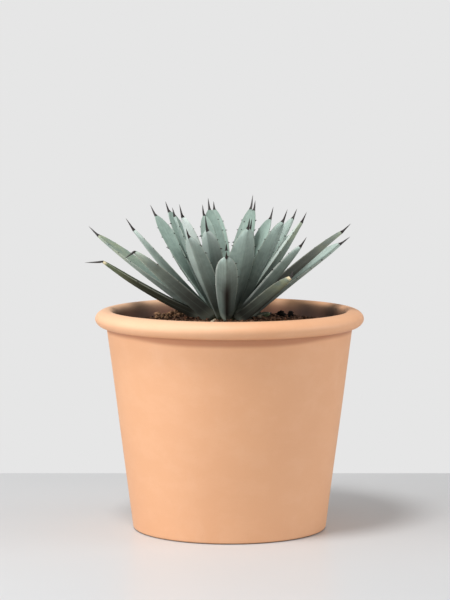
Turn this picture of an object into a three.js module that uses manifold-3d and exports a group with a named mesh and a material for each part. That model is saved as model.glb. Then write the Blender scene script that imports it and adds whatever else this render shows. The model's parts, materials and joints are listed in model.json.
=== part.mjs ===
import * as THREE from 'three';
import { mergeVertices } from 'three/addons/utils/BufferGeometryUtils.js';
import Module from 'manifold-3d';

// A potted blue-grey rosette agave in a rolled-rim terracotta pot.
// Millimetres, +Z up, origin on the pot's axis at the underside of its foot.

// Pot
const potHeight = 205;
const footRadius = 90.5;
const footBevel = 2.5;
const wallTopRadius = 114.2;
const wallThickness = 8;
const floorThickness = 13;
const rimRadius = 125;
const rimHalfHeight = 8.3;
const rimCrestRadius = 113;
const rimSegments = 8;
const rimStartAngle = -78;
const rimNeck = 1.5;
const floorCornerInset = 4;
const floorCornerWidth = 8;
const floorCornerHeight = 4;
const potSides = 48;
const drainHoles = 3;
const drainRadius = 6;
const drainCircle = 42;
const drainSides = 16;

// Soil
const soilClearance = 0.3;
const soilEdgeHeight = 188;
const soilCrownHeight = 196;
const soilLump = 1.3;
const soilRings = 7;
const soilCentreRadius = 19;
const soilDishRadius = 29;
const soilDishFloorRadius = 22;
const soilDishDepth = 9;
const chipCount = 18;
const chipThickness = 3.6;
const chipSink = 1.2;

// Stem, whose axis stands a little off the pot's axis
const crown = new THREE.Vector3(-3, 4, 193);
const stemSides = 20;
const stemProfile = [[9, -28], [12, -25], [12, -9], [19, -3], [19, 2], [5, 15]];

// Bud: the furled youngest leaves, standing on the stem's top
const budSides = 10;
const budProfile = [[4.6, 15.3], [5.4, 25], [4.6, 36], [2.8, 46], [1.4, 53], [0.8, 57], [0.4, 62]];

// Roots of the lowest and of the steepest leaf, from the crown
const lowRoot = { rise: 20, radius: 21, height: 2 };
const highRoot = { rise: 80, radius: 5, height: 16 };

// Leaf: a channelled blade that is widest past its middle and ends in a long spine
const leafClearance = 0.4;
const widestAt = 0.6;
const baseWidthShare = 0.72;
const tipHalfWidth = 1.2;
const tipBluntness = 0.6;
const defaultShoulder = 3;
const baseThickness = 5.6;
const tipThickness = 2.6;
const baseCup = 0.34;
const tipCup = 0.14;
const defaultBend = 6;
const defaultLift = 6;
const bladeStations = [0, 0.15, 0.3, 0.45, 0.6, 0.73, 0.84, 0.93, 0.98, 1];
const spineStations = [0.3, 0.7];
const spineStationShares = [0.66, 0.3];
const toothedSpans = [2, 3, 4, 5, 6];
const toothLength = 2;
const toothHalfBase = 1;
const toothRake = 0.6;

// Corners of a blade's section
const marginCorners = [0, 4];
const grooveCorner = 2;
const keelCorner = 6;

// Each leaf: azimuth from +X towards +Y and rise above level in degrees, blade length, width and
// spine in millimetres. Roll is the blade's turn about its own line, lift the spine's turn upwards,
// bend the blade's curl from root to tip; a higher shoulder is a blunter tip, slim a thinner blade.
const heartLeaves = [
  { azimuth: 90, rise: 82, length: 50, width: 15, spine: 7 },
  { azimuth: -30, rise: 82, length: 46, width: 14, spine: 7 },
  { azimuth: -150, rise: 83, length: 44, width: 14, spine: 7 },
];

const innerLeaves = [
  { azimuth: 130, rise: 73, length: 87, width: 16, spine: 11, roll: 10 },
  { azimuth: 178, rise: 66, length: 94, width: 18, spine: 9, roll: 8 },
  { azimuth: 108, rise: 64.5, length: 99, width: 21, spine: 12, roll: 10, shoulder: 1.8 },
  { azimuth: 53, rise: 69, length: 95, width: 18, spine: 10, roll: 10 },
  { azimuth: -63, rise: 64, length: 85, width: 20, spine: 12 },
  { azimuth: -139, rise: 64, length: 98, width: 21, spine: 13, roll: 8 },
  { azimuth: 155, rise: 61.5, length: 102, width: 20, spine: 11, roll: 10 },
  { azimuth: -36, rise: 58.5, length: 100, width: 19, spine: 13, roll: 10 },
  { azimuth: 38, rise: 63, length: 92, width: 26, spine: 12.5, roll: 10 },
];

const middleLeaves = [
  { azimuth: -107, rise: 58.5, length: 92, width: 19, spine: 17, roll: 8 },
  { azimuth: 6, rise: 55, length: 101, width: 19, spine: 11, roll: 2 },
  { azimuth: -73, rise: 56, length: 98, width: 25, spine: 12, shoulder: 1.5 },
  { azimuth: 35, rise: 53, length: 105.5, width: 22, spine: 11, roll: 10 },
  { azimuth: 140, rise: 49.5, length: 114, width: 18, spine: 13, roll: 10, shoulder: 2.6 },
  { azimuth: 73, rise: 53.5, length: 113, width: 20.5, spine: 16, roll: 8, shoulder: 1.6 },
  { azimuth: 96, rise: 43, length: 133, width: 21, spine: 11, roll: 6, shoulder: 1.8 },
  { azimuth: -170, rise: 47.5, length: 107, width: 16, spine: 14, shoulder: 2.4 },
  { azimuth: -114, rise: 48, length: 103, width: 20, spine: 10, shoulder: 2.4 },
];

const outerLeaves = [
  { azimuth: 124, rise: 41, length: 114, width: 22, spine: 13, roll: 10 },
  { azimuth: -42, rise: 42.5, length: 101, width: 15, spine: 12 },
  { azimuth: -15, rise: 40.5, length: 123, width: 22, spine: 12, bend: -6, shoulder: 3.4 },
  { azimuth: 50, rise: 40, length: 110, width: 22, spine: 13, roll: 10 },
  { azimuth: -90, rise: 38.5, length: 99, width: 19.5, spine: 9, shoulder: 3.2 },
  { azimuth: -148, rise: 38, length: 104, width: 24, spine: 12, lift: -70, shoulder: 2.4 },
  { azimuth: 98, rise: 34, length: 116, width: 22, spine: 13, roll: 6 },
  { azimuth: 13, rise: 35.5, length: 113, width: 21, spine: 13, roll: -12, lift: 0, bend: 0 },
  { azimuth: 73, rise: 32, length: 116, width: 22, spine: 13, roll: 8 },
  { azimuth: 157, rise: 32.5, length: 135, width: 23, spine: 14, shoulder: 2.4 },
  { azimuth: -54, rise: 29.5, length: 92, width: 17, spine: 6.5, lift: 40 },
  { azimuth: -177, rise: 29, length: 110, width: 20, spine: 17, lift: -38, bend: 14, slim: 0.8 },
];

// Short, low on the stem and dried up
const witheredLeaves = [
  { azimuth: 18, rise: 14, length: 22, width: 10, spine: 2.5 },
];

const terracotta = new THREE.MeshStandardMaterial({ color: 0xe0a57d, roughness: 0.9, metalness: 0 });
const pottingSoil = new THREE.MeshStandardMaterial({ color: 0x3a2a22, roughness: 1, metalness: 0 });
const stemBark = new THREE.MeshStandardMaterial({ color: 0x6d6a4c, roughness: 0.9, metalness: 0 });
const youngLeaf = new THREE.MeshStandardMaterial({ color: 0x9fb5a6, roughness: 0.65, metalness: 0 });
const grownLeaf = new THREE.MeshStandardMaterial({ color: 0x8fa69b, roughness: 0.65, metalness: 0 });
const oldLeaf = new THREE.MeshStandardMaterial({ color: 0x7c8b78, roughness: 0.7, metalness: 0 });
const driedLeaf = new THREE.MeshStandardMaterial({ color: 0xa98d62, roughness: 0.85, metalness: 0 });

// From the heart outwards
const leafRings = [
  { leaves: heartLeaves, skin: youngLeaf },
  { leaves: innerLeaves, skin: youngLeaf },
  { leaves: middleLeaves, skin: grownLeaf },
  { leaves: outerLeaves, skin: oldLeaf },
  { leaves: witheredLeaves, skin: driedLeaf },
];

const wasm = await Module();
wasm.setup();

const up = new THREE.Vector3(0, 0, 1);
const degrees = (angle) => THREE.MathUtils.degToRad(angle);
const mix = THREE.MathUtils.lerp;

// A repeatable draw between 0 and 1 for a whole number
function draw(index) {
  const value = Math.sin(index * 127.1 + 11.7) * 43758.5453;
  return value - Math.floor(value);
}

function toSolid(geometry) {
  const bare = geometry.clone();
  bare.deleteAttribute('normal');
  bare.deleteAttribute('uv');
  const merged = mergeVertices(bare, 1e-4);
  const mesh = new wasm.Mesh({
    numProp: 3,
    vertProperties: new Float32Array(merged.attributes.position.array),
    triVerts: new Uint32Array(merged.index.array),
  });
  return new wasm.Manifold(mesh);
}

function toGeometry(solid) {
  const mesh = solid.getMesh();
  const geometry = new THREE.BufferGeometry();
  geometry.setAttribute('position', new THREE.BufferAttribute(mesh.vertProperties, 3));
  geometry.setIndex(new THREE.BufferAttribute(mesh.triVerts, 1));
  geometry.computeVertexNormals();
  return geometry;
}

// Of a solid that a cut has parted, the largest body
function largestBody(solid) {
  const bodies = solid.decompose();
  bodies.sort((a, b) => b.volume() - a.volume());
  return bodies[0];
}

function revolve(profile, sides) {
  const points = profile.map(([radius, height]) => new THREE.Vector2(radius, height));
  const geometry = new THREE.LatheGeometry(points, sides);
  geometry.rotateX(Math.PI / 2);
  return geometry;
}

// Radius of the pot's inner wall at a height
function innerWallRadius(height) {
  const outer = mix(footRadius, wallTopRadius, height / (potHeight - 2 * rimHalfHeight));
  return outer - wallThickness;
}

function rimArc(halfWidth, fromAngle, toAngle, steps) {
  const centreHeight = potHeight - rimHalfHeight;
  const points = [];
  for (let i = 0; i <= steps; i += 1) {
    const angle = degrees(mix(fromAngle, toAngle, i / steps));
    const radius = rimCrestRadius + halfWidth * Math.cos(angle);
    points.push([radius, centreHeight + rimHalfHeight * Math.sin(angle)]);
  }
  return points;
}

// The pot's floor and the rounded corner that leads to its wall, set in by a clearance
function floorCorner(clearance) {
  const wall = innerWallRadius(floorThickness) - floorCornerInset - clearance;
  return [
    [0, floorThickness + clearance],
    [wall - floorCornerWidth, floorThickness + clearance],
    [wall, floorThickness + floorCornerHeight + clearance],
  ];
}

function potSolid() {
  const rimBottom = potHeight - 2 * rimHalfHeight;
  const innerLip = rimCrestRadius - innerWallRadius(rimBottom + rimHalfHeight);
  const profile = [
    [0, 0],
    [footRadius - footBevel, 0],
    [footRadius, footBevel],
    [wallTopRadius, rimBottom - rimNeck],
    ...rimArc(rimRadius - rimCrestRadius, rimStartAngle, 90, rimSegments),
    ...rimArc(innerLip, 90, 180, rimSegments / 2).slice(1),
    ...floorCorner(0).reverse(),
  ];
  let pot = toSolid(revolve(profile, potSides));
  for (let i = 0; i < drainHoles; i += 1) {
    const angle = degrees(90 + (360 / drainHoles) * i);
    const hole = new THREE.CylinderGeometry(drainRadius, drainRadius, floorThickness * 2, drainSides);
    hole.rotateX(Math.PI / 2);
    hole.translate(drainCircle * Math.cos(angle), drainCircle * Math.sin(angle), floorThickness / 2);
    pot = pot.subtract(toSolid(hole));
  }
  return pot;
}

// Height of the soil's surface, domed towards the stem and lumpy with crumbs
function soilHeight(x, y) {
  const share = Math.min(1, Math.hypot(x, y) / innerWallRadius(soilEdgeHeight));
  const dome = mix(soilCrownHeight, soilEdgeHeight, share * share);
  const lumps = Math.sin(x * 0.21 + 1.3) * Math.cos(y * 0.27 - 0.4)
    + 0.7 * Math.sin(x * 0.47 - y * 0.39) * Math.cos(y * 0.53 + x * 0.11);
  return dome + lumps * soilLump * (1 - share ** 6);
}

function soilBody() {
  const edge = innerWallRadius(soilEdgeHeight) - soilClearance;
  const profile = [...floorCorner(soilClearance), [edge, soilEdgeHeight]];
  for (let i = 1; i <= soilRings; i += 1) {
    profile.push([mix(edge, soilCentreRadius, i / soilRings), soilCrownHeight]);
  }
  profile.push([0, soilCrownHeight]);
  const geometry = revolve(profile, potSides);
  const position = geometry.attributes.position;
  for (let i = 0; i < position.count; i += 1) {
    if (position.getZ(i) > soilEdgeHeight + 1) {
      position.setZ(i, soilHeight(position.getX(i), position.getY(i)));
    }
  }
  return toSolid(geometry);
}

// Chips of bark that lie in the soil's surface
function barkChips() {
  const chips = [];
  for (let i = 0; i < chipCount; i += 1) {
    const angle = draw(i) * Math.PI * 2;
    const radius = mix(40, 94, draw(i + 100));
    const x = radius * Math.cos(angle);
    const y = radius * Math.sin(angle);
    const length = mix(5, 10, draw(i + 200));
    const width = mix(3, 6, draw(i + 300));
    const chip = new THREE.BoxGeometry(length, width, chipThickness);
    chip.rotateX(mix(-0.5, 0.5, draw(i + 400)));
    chip.rotateY(mix(-0.6, 0.6, draw(i + 500)));
    chip.rotateZ(draw(i + 600) * Math.PI);
    chip.translate(x, y, soilHeight(x, y) + chipThickness / 2 - chipSink);
    chips.push(toSolid(chip));
  }
  return chips;
}

// A turned solid on the stem's axis, its outline grown outwards and past both ends
function turnedSolid(profile, sides, grow) {
  const outline = profile.map(([radius, height]) => [radius + grow, height]);
  const last = outline.length - 1;
  outline[0][1] -= grow;
  outline[last][1] += grow;
  const geometry = revolve([[0, outline[0][1]], ...outline, [0, outline[last][1]]], sides);
  geometry.translate(crown.x, crown.y, crown.z);
  return toSolid(geometry);
}

function stemSolid(grow) {
  return turnedSolid(stemProfile, stemSides, grow);
}

function budSolid(grow) {
  return turnedSolid(budProfile, budSides, grow);
}

// The hollow in the soil under the lowest leaves
function dishSolid() {
  const floor = soilCrownHeight - soilDishDepth - crown.z;
  const brim = floor + 2 * soilDishDepth;
  return turnedSolid([[soilDishFloorRadius, floor], [soilDishRadius, brim]], stemSides, 0);
}

function soilSolid(plant) {
  const relief = wasm.Manifold.union([soilBody(), ...barkChips()]);
  return largestBody(relief.subtract(dishSolid()).subtract(plant));
}

// Where a leaf springs from the stem's cone: the steeper it is, the higher and nearer the axis
function leafRoot(leaf) {
  const share = THREE.MathUtils.clamp((leaf.rise - lowRoot.rise) / (highRoot.rise - lowRoot.rise), 0, 1);
  const outward = new THREE.Vector3(Math.cos(degrees(leaf.azimuth)), Math.sin(degrees(leaf.azimuth)), 0);
  return crown.clone()
    .addScaledVector(outward, mix(lowRoot.radius, highRoot.radius, share))
    .addScaledVector(up, mix(lowRoot.height, highRoot.height, share));
}

function leafDirection(leaf, t) {
  const rise = degrees(leaf.rise + (leaf.bend ?? defaultBend) * (t - 0.5));
  const azimuth = degrees(leaf.azimuth);
  return new THREE.Vector3(
    Math.cos(rise) * Math.cos(azimuth),
    Math.cos(rise) * Math.sin(azimuth),
    Math.sin(rise),
  );
}

// Point, direction, sideways and inward-facing normal of the blade at a share t of its length;
// the blade bends along an arc, so the point lies on that arc's chord
function leafFrame(leaf, t) {
  const halfTurn = degrees(leaf.bend ?? defaultBend) * t / 2;
  const chord = leaf.length * t * (halfTurn === 0 ? 1 : Math.sin(halfTurn) / halfTurn);
  const point = leafRoot(leaf).addScaledVector(leafDirection(leaf, t / 2), chord);
  const along = leafDirection(leaf, t);
  const level = new THREE.Vector3(-Math.sin(degrees(leaf.azimuth)), Math.cos(degrees(leaf.azimuth)), 0);
  const roll = degrees(leaf.roll ?? 0) * THREE.MathUtils.smoothstep(t, 0, widestAt);
  const side = level.applyAxisAngle(along, -roll);
  return { t, point, along, side, normal: new THREE.Vector3().crossVectors(along, side) };
}

function halfWidth(leaf, t) {
  const swell = THREE.MathUtils.smoothstep(t, 0, widestAt);
  const taper = THREE.MathUtils.clamp((t - widestAt) / (1 - widestAt), 0, 1);
  const base = mix(baseWidthShare, 1, swell);
  const tip = (1 - taper ** (leaf.shoulder ?? defaultShoulder)) ** tipBluntness;
  return Math.hypot(0.5 * leaf.width * base * tip, tipHalfWidth);
}

// Eight points of the blade's section: a channelled inner face and a keeled back
function bladeSection(leaf, frame, grow) {
  const half = halfWidth(leaf, frame.t);
  const depth = mix(baseThickness, tipThickness, frame.t ** 0.8) * (leaf.slim ?? 1);
  const curl = half * mix(baseCup, tipCup, frame.t);
  const wide = half + grow;
  const top = grow * 0.8;
  const low = depth + grow;
  const section = [
    [-wide, curl + top], [-0.55 * wide, 0.3 * curl + top], [0, top], [0.55 * wide, 0.3 * curl + top],
    [wide, curl + top], [0.62 * wide, 0.38 * curl - 0.62 * low], [0, -low],
    [-0.62 * wide, 0.38 * curl - 0.62 * low],
  ];
  return section.map(([across, inward]) => frame.point.clone()
    .addScaledVector(frame.side, across)
    .addScaledVector(frame.normal, inward));
}

function spineDirection(leaf, frame) {
  const lift = degrees(leaf.lift ?? defaultLift);
  return frame.along.clone().multiplyScalar(Math.cos(lift)).addScaledVector(frame.normal, Math.sin(lift));
}

// Rings that carry the blade's last section on into the spine
function spineRings(leaf, frame, grow) {
  const ring = bladeSection(leaf, frame, grow);
  const middle = frame.point.clone().addScaledVector(frame.normal, -tipThickness / 2);
  const direction = spineDirection(leaf, frame);
  return spineStations.map((share, i) => {
    const centre = middle.clone().addScaledVector(direction, leaf.spine * share);
    const scale = spineStationShares[i];
    return ring.map((corner) => corner.clone().sub(middle).multiplyScalar(scale).add(centre));
  });
}

function spineTip(leaf, frame, grow) {
  const middle = frame.point.clone().addScaledVector(frame.normal, -tipThickness / 2);
  return middle.addScaledVector(spineDirection(leaf, frame), leaf.spine + grow);
}

// The margin between two sections: straight, or broken by one tooth halfway
function marginPoints(near, far, corner, grow) {
  const start = near[corner];
  const end = far[corner];
  const outward = start.clone().sub(near[grooveCorner]).normalize();
  const along = end.clone().sub(start);
  const foot = (toothHalfBase + 2 * grow) / along.length();
  const tip = start.clone().lerp(end, 0.5)
    .addScaledVector(outward, toothLength + 2 * grow)
    .addScaledVector(along.normalize(), toothRake);
  return [start.clone().lerp(end, 0.5 - foot), tip, start.clone().lerp(end, 0.5 + foot)];
}

// Faces between two neighbouring lines of points that lead from one section to the next
function stripFaces(left, right) {
  const faces = [];
  const corner = left[left.length - 1];
  for (let k = 0; k < left.length - 1; k += 1) {
    faces.push([left[k], left[k + 1], right[0]]);
  }
  for (let k = 0; k < right.length - 1; k += 1) {
    faces.push([right[k], corner, right[k + 1]]);
  }
  return faces;
}

// The lines of points that lead from section i to the next, one for each of its corners
function spanLines(rings, points, i, grow) {
  const count = rings[i].length;
  return rings[i].map((start, corner) => {
    const line = [i * count + corner];
    if (toothedSpans.includes(i) && marginCorners.includes(corner)) {
      marginPoints(rings[i], rings[i + 1], corner, grow).forEach((point) => {
        line.push(points.length);
        points.push(point);
      });
    }
    line.push((i + 1) * count + corner);
    return line;
  });
}

// A closed skin over the leaf's sections, flat at the root and running to a point at the spine's end
function leafSkin(rings, tip, grow) {
  const count = rings[0].length;
  const points = rings.flat();
  const faces = [];
  for (let i = 0; i < rings.length - 1; i += 1) {
    const lines = spanLines(rings, points, i, grow);
    lines.forEach((line, j) => faces.push(...stripFaces(line, lines[(j + 1) % count])));
  }
  const last = (rings.length - 1) * count;
  points.push(tip);
  for (let j = 0; j < count; j += 1) {
    faces.push([last + j, points.length - 1, last + ((j + 1) % count)]);
  }
  for (let j = 1; j < count - 1; j += 1) {
    faces.push([keelCorner, (keelCorner + j) % count, (keelCorner + j + 1) % count]);
  }
  const geometry = new THREE.BufferGeometry();
  geometry.setAttribute('position', new THREE.Float32BufferAttribute(points.flatMap((p) => p.toArray()), 3));
  geometry.setIndex(faces.flat());
  return geometry;
}

function leafSolid(leaf, grow) {
  const frames = bladeStations.map((t) => leafFrame(leaf, t));
  const last = frames[frames.length - 1];
  const rings = [
    ...frames.map((frame) => bladeSection(leaf, frame, grow)),
    ...spineRings(leaf, last, grow),
  ];
  return toSolid(leafSkin(rings, spineTip(leaf, last, grow), grow));
}

function addPiece(group, name, solid, material) {
  const mesh = new THREE.Mesh(toGeometry(solid), material);
  mesh.name = name;
  group.add(mesh);
}

const agave = new THREE.Group();
addPiece(agave, 'pot', potSolid(), terracotta);
addPiece(agave, 'stem', stemSolid(0), stemBark);
addPiece(agave, 'bud', budSolid(0), youngLeaf);

// Every leaf gives way to the stem, the bud and the younger leaves that it wraps
let plant = stemSolid(leafClearance).add(budSolid(leafClearance));
let number = 0;
leafRings.forEach(({ leaves, skin }) => leaves.forEach((leaf) => {
  number += 1;
  const name = `leaf_${String(number).padStart(2, '0')}`;
  addPiece(agave, name, largestBody(leafSolid(leaf, 0).subtract(plant)), skin);
  plant = plant.add(leafSolid(leaf, leafClearance));
}));

// The soil takes the print of the lowest leaves
addPiece(agave, 'soil', soilSolid(plant), pottingSoil);

export default agave;
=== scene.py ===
import json
import math
import random

import bmesh
import bpy
from mathutils import Matrix, Vector, noise


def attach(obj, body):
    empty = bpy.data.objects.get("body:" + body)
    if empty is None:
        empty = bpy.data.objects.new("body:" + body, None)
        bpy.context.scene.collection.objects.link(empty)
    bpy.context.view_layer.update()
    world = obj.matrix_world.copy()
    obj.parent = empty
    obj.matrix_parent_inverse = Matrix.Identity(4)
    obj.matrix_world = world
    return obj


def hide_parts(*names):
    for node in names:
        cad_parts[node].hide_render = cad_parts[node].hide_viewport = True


# A potted rosette agave with blue-grey leaves and dark spines, in a rolled-rim terracotta pot.
# Sizes are in millimetres here and become metres where an object is made. Places in materials are in metres.

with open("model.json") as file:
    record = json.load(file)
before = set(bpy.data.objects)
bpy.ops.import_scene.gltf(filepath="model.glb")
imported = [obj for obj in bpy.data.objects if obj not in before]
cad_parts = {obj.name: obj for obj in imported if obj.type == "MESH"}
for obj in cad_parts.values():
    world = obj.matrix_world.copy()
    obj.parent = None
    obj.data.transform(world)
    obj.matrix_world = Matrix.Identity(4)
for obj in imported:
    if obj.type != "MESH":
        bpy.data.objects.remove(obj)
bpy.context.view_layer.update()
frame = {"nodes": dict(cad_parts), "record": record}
print("frame loaded with", len(frame["nodes"]), "nodes")

frameSlots = {part["node"]: part["material_slot"] for part in frame["record"]["subparts"]}
milli = 0.001
up = Vector((0, 0, 1))


def mix(a, b, share):
    return a + (b - a) * share


def clamp(value, low=0.0, high=1.0):
    return max(low, min(high, value))


def smooth(value, low, high):
    share = clamp((value - low) / (high - low))
    return share * share * (3 - 2 * share)


def paint(code):                       # a colour picker's code as a linear colour
    parts = [int(code[i:i + 2], 16) / 255 for i in (1, 3, 5)]
    linear = [p / 12.92 if p <= 0.04045 else ((p + 0.055) / 1.055) ** 2.4 for p in parts]
    return (*linear, 1.0)


# Meshes

def makeObject(name, points, faces, finishes, faceFinish=None):
    mesh = bpy.data.meshes.new(name)
    mesh.from_pydata([tuple(p * milli) for p in points], [], faces)
    for finish in finishes:
        mesh.materials.append(finish)
    if faceFinish:
        mesh.polygons.foreach_set("material_index", faceFinish)
    made = bpy.data.objects.new(name, mesh)
    bpy.context.scene.collection.objects.link(made)
    return made


def shade(made, angle=None):           # smooth, but crisp where two faces meet at more than the angle
    mesh = made.data
    shape = bmesh.new()
    shape.from_mesh(mesh)
    bmesh.ops.recalc_face_normals(shape, faces=shape.faces)
    for face in shape.faces:
        face.smooth = True
    if angle:
        for edge in shape.edges:
            edge.smooth = edge.is_manifold and edge.calc_face_angle(0) < math.radians(angle)
    shape.to_mesh(mesh)
    shape.free()
    return made


def circle(radius, sides):             # x and y of points all round
    angles = [2 * math.pi * j / sides for j in range(sides)]
    return [(radius * math.cos(angle), radius * math.sin(angle)) for angle in angles]


def bandFaces(rings, count):           # the faces between rings of as many points each
    faces = []
    for i in range(rings - 1):
        for j in range(count):
            k = (j + 1) % count
            faces.append((i * count + j, i * count + k, (i + 1) * count + k, (i + 1) * count + j))
    return faces


def capFaces(rings, count):            # one face on the first ring and one on the last
    return [tuple(reversed(range(count))), tuple(range((rings - 1) * count, rings * count))]


def spin(profile, sides, centre=(0, 0), wobble=None):
    points = []
    for radius, height in profile:
        for x, y in circle(radius, sides):
            place = Vector((x, y, height))
            if wobble:
                place = wobble(place)
            points.append(place + Vector((*centre, 0)))
    return points, bandFaces(len(profile), sides) + capFaces(len(profile), sides)


def addField(made, name, kind, values):          # a number or a triple for each point, which a finish reads
    field = made.data.attributes.new(name, kind, "POINT")
    key = "vector" if kind == "FLOAT_VECTOR" else "value"
    flat = [v for value in values for v in value] if kind == "FLOAT_VECTOR" else values
    field.data.foreach_set(key, flat)


def settle(piece, slot, *nodes):       # on the one body and in place of the named nodes; the slot is not used
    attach(piece, "root")
    if nodes:
        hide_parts(*nodes)
    return piece


# Shader maths

class Wire:                            # a socket that can be calculated with
    def __init__(self, shop, socket):
        self.shop = shop
        self.socket = socket

    def __add__(self, other):
        return self.shop.sum("ADD", self, other)

    def __sub__(self, other):
        return self.shop.sum("SUBTRACT", self, other)

    def __rsub__(self, other):
        return self.shop.sum("SUBTRACT", other, self)

    def __mul__(self, other):
        return self.shop.sum("MULTIPLY", self, other)

    def __pow__(self, other):
        return self.shop.sum("POWER", self, other)

    def __abs__(self):
        return self.shop.sum("ABSOLUTE", self, 0.0)

    __radd__ = __add__
    __rmul__ = __mul__


class Shop:                            # makes the nodes of one tree
    def __init__(self, tree):
        self.tree = tree
        self.tree.nodes.clear()

    def node(self, kind, settings=None, sockets=None, output=0):
        made = self.tree.nodes.new("ShaderNode" + kind)
        for key, value in (settings or {}).items():
            setattr(made, key, value)
        for key, value in (sockets or {}).items():
            if isinstance(value, Wire):
                self.tree.links.new(value.socket, made.inputs[key])
            else:
                made.inputs[key].default_value = value
        return Wire(self, made.outputs[output]) if made.outputs else None

    def sum(self, operation, a, b):
        return self.node("Math", {"operation": operation}, {0: a, 1: b})


class Finish(Shop):
    def __init__(self, name, specular):
        self.material = bpy.data.materials.new(name)
        self.material.use_nodes = True
        super().__init__(self.material.node_tree)
        self.specular = specular

    def place(self):
        return self.node("TexCoord", output="Object")

    def field(self, name, output="Vector"):
        return self.node("Attribute", {"attribute_name": name}, output=output)

    def split(self, vector):           # its x, y and z
        apart = self.node("SeparateXYZ", None, {0: vector}).socket.node
        return [Wire(self, socket) for socket in apart.outputs]

    def stretch(self, vector, scale, shift=(0, 0, 0)):
        return self.node("Mapping", None, {"Vector": vector, "Scale": scale, "Location": shift})

    def cloud(self, vector, scale, detail=3.0, roughness=0.5, output="Fac"):
        return self.node("TexNoise", None, {"Vector": vector, "Scale": scale, "Detail": detail,
                                            "Roughness": roughness}, output)

    def cells(self, vector, scale):    # the distance from the middle of each grain
        return self.node("TexVoronoi", None, {"Vector": vector, "Scale": scale}, "Distance")

    def step(self, value, low, high):  # a soft step from 0 at low to 1 at high, which may be the lower one
        return self.node("MapRange", {"interpolation_type": "SMOOTHSTEP"},
                         {"Value": value, "From Min": low, "From Max": high})

    def blend(self, share, a, b):      # colour a, and b by its share
        return self.node("Mix", {"data_type": "RGBA"}, {0: share, 6: a, 7: b}, 2)

    def light(self, colour, amount):   # the colour, made lighter or darker by the amount around 1
        return self.node("HueSaturation", None, {"Color": colour, "Value": amount})

    def bump(self, height, strength, distance, **under):
        sockets = {"Height": height, "Strength": strength, "Distance": distance, **under}
        return self.node("Bump", None, sockets)

    def close(self, colour, roughness, normal=None):
        sockets = {"Base Color": colour, "Roughness": roughness, "Specular IOR Level": self.specular}
        if normal:
            sockets["Normal"] = normal
        surface = self.node("BsdfPrincipled", None, sockets)
        self.node("OutputMaterial", None, {"Surface": surface})
        return self.material


# Terracotta pot

potMake = {
    "height": 205, "footRadius": 90.5, "footBevel": 2.5, "wallTopRadius": 114.2, "wall": 8, "floor": 13,
    "rimRadius": 125, "rimHalfHeight": 8.3, "rimCrestRadius": 113, "rimNeck": 1.5, "rimStartAngle": -78,
    "floorCornerInset": 4, "floorCornerWidth": 8, "floorCornerHeight": 4,
    "drainHoles": 3, "drainRadius": 6, "drainCircle": 42, "drainSides": 40, "drillPast": 5,
    "sides": 192, "floorRings": (1, 50),
    "steps": {"foot": 4, "wall": 30, "rim": 22, "lip": 10, "inner": 20, "corner": 5},
    "swell": 0.35, "swellScale": 0.012, "swellFrom": 60, "swellFull": 90,
    # the lime colour serves both the lime bloom and a painted highlight on the rim
    "clay": "#E2AB81", "paleClay": "#E7B58E", "deepClay": "#DBA278", "speck": "#B97A56", "lime": "#F2D3B6",
    # the damp inner wall, and the colours of painted shadow under the rim and painted shade at the foot's
    # edge
    "damp": "#905E46", "paintedRimShadow": "#A96945", "paintedFootShade": "#6B4A38",
}
rimBottom = potMake["height"] - 2 * potMake["rimHalfHeight"]


def innerWallRadius(height):
    return mix(potMake["footRadius"], potMake["wallTopRadius"], height / rimBottom) - potMake["wall"]


def rimArc(halfWidth, fromAngle, toAngle, steps):
    points = []
    for i in range(steps + 1):
        angle = math.radians(mix(fromAngle, toAngle, i / steps))
        points.append((potMake["rimCrestRadius"] + halfWidth * math.cos(angle),
                       potMake["height"] + potMake["rimHalfHeight"] * (math.sin(angle) - 1)))
    return points


def bevelArc(centre, radius, fromAngle, toAngle, steps):
    angles = [math.radians(mix(fromAngle, toAngle, i / steps)) for i in range(steps + 1)]
    return [(centre[0] + radius * math.cos(a), centre[1] + radius * math.sin(a)) for a in angles]


def wallLine(fromPoint, toPoint, steps):
    return [(mix(fromPoint[0], toPoint[0], i / steps), mix(fromPoint[1], toPoint[1], i / steps))
            for i in range(1, steps)]


def potProfile():
    m = potMake
    steps = m["steps"]
    footTop = (m["footRadius"], m["footBevel"])
    neck = (m["wallTopRadius"], rimBottom - m["rimNeck"])
    lip = m["rimCrestRadius"] - innerWallRadius(rimBottom + m["rimHalfHeight"])
    corner = innerWallRadius(m["floor"]) - m["floorCornerInset"]
    foot = bevelArc((m["footRadius"] - m["footBevel"], m["footBevel"]), m["footBevel"], -90, 0, steps["foot"])
    bowl = bevelArc((corner - m["floorCornerWidth"], m["floor"] + m["floorCornerWidth"]),
                    m["floorCornerWidth"], 0, -90, steps["corner"])
    rim = rimArc(m["rimRadius"] - m["rimCrestRadius"], m["rimStartAngle"], 90, steps["rim"])
    inner = rimArc(lip, 90, 180, steps["lip"])[1:]
    underside = [(radius, 0) for radius in m["floorRings"]]
    floor = [(radius, m["floor"]) for radius in reversed(m["floorRings"])]
    return [*underside, *foot, *wallLine(footTop, neck, steps["wall"]), neck, *rim, *inner,
            *wallLine(inner[-1], bowl[0], steps["inner"]), *bowl, *floor]


def potWobble(place):                  # a moulded pot is never quite true
    m = potMake
    swell = noise.noise(place * m["swellScale"]) * m["swell"]
    outward = Vector((place.x, place.y, 0))
    return place + outward.normalized() * swell * smooth(outward.length, m["swellFrom"], m["swellFull"])


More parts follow.
